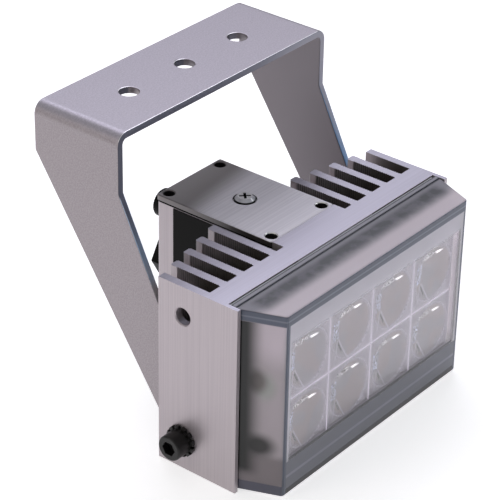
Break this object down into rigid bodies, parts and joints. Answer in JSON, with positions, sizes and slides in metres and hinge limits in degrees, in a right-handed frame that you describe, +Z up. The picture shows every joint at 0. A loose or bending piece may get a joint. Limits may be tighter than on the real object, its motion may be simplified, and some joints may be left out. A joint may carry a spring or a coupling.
{
  "type": "white light illuminator",
  "caption": "White light illuminator for cameras: finned aluminium head with a clear front over square optics, tilting in a sheet steel yoke bracket",
  "frame": {"origin": "Bottom centre of the whole object's box at rest, on the surface that the head stands on", "axes": "+X to the right seen from the front, +Y to the rear, away from the clear cover, +Z up"},
  "size_m": [0.1402, 0.1118, 0.1226],
  "materials": {
    "heatsink_finish": "extruded, with a dark grey matt coat",
    "bracket_paint": "grey satin coat on bent sheet",
    "lid_paint": "grey satin coat on milled plate",
    "black_steel": "black oxide",
    "plain_steel": "plain bright",
    "gasket_rubber": "soft matt",
    "clear_cover": "clear moulded, polished",
    "cover_bond": "pale bond",
    "optic_clear": "clear moulded",
    "pad_grey": "matt pad",
    "board_white": "white solder mask",
    "board_green": "green solder mask",
    "part_plastic": "moulded",
    "choke_dark": "coated core",
    "capacitor_sleeve": "shrunk sleeve",
    "lead_sheath": "soft sheath",
    "gland_black": "moulded nylon",
    "black_film": "plain film",
    "emitter_yellow": "phosphor under clear dome"
  },
  "bodies": {
    "bracket": {"yoke_bracket": "bracket_paint", "left_pivot_bolt": "black_steel", "right_pivot_bolt": "black_steel", "left_toothed_washer": "black_steel", "right_toothed_washer": "black_steel"},
    "head": {"heatsink": "heatsink_finish", "top_lid": "lid_paint", "bottom_lid": "lid_paint", "top_gasket": "gasket_rubber", "bottom_gasket": "gasket_rubber", "lid_post": "plain_steel", "top_lid_screw": "plain_steel", "bottom_lid_screw": "plain_steel", "front_cover": "clear_cover", "cover_gasket": "cover_bond", "thermal_pad": "pad_grey", "light_board": "board_white", "board_screws": "plain_steel", "driver_board": "board_green", "lead_header": "part_plastic", "supply_terminal": "part_plastic", "driver_choke": "choke_dark", "driver_capacitor_1": "capacitor_sleeve", "driver_capacitor_2": "capacitor_sleeve", "light_lead": "lead_sheath", "lead_sleeve": "gasket_rubber", "gland_body": "gland_black", "gland_nut": "gland_black", "gland_seal": "gasket_rubber", "gland_ring": "gasket_rubber", "gland_lock_nut": "gland_black", "vent_plug": "gland_black", "vent_ring": "gasket_rubber", "vent_lock_nut": "gland_black", "wall_film": "black_film", "emitter_1": "emitter_yellow", "emitter_2": "emitter_yellow", "emitter_3": "emitter_yellow", "emitter_4": "emitter_yellow", "emitter_5": "emitter_yellow", "emitter_6": "emitter_yellow", "emitter_7": "emitter_yellow", "emitter_8": "emitter_yellow", "optic_1": "optic_clear", "optic_2": "optic_clear", "optic_3": "optic_clear", "optic_4": "optic_clear", "optic_5": "optic_clear", "optic_6": "optic_clear", "optic_7": "optic_clear", "optic_8": "optic_clear"}
  },
  "joints": [
    {"name": "head_tilt", "type": "hinge", "parent": "bracket", "child": "head", "pos_m": [0, -0.0164, 0.0122], "axis": [1, 0, 0], "range_deg": [-25, 145]}
  ]
}
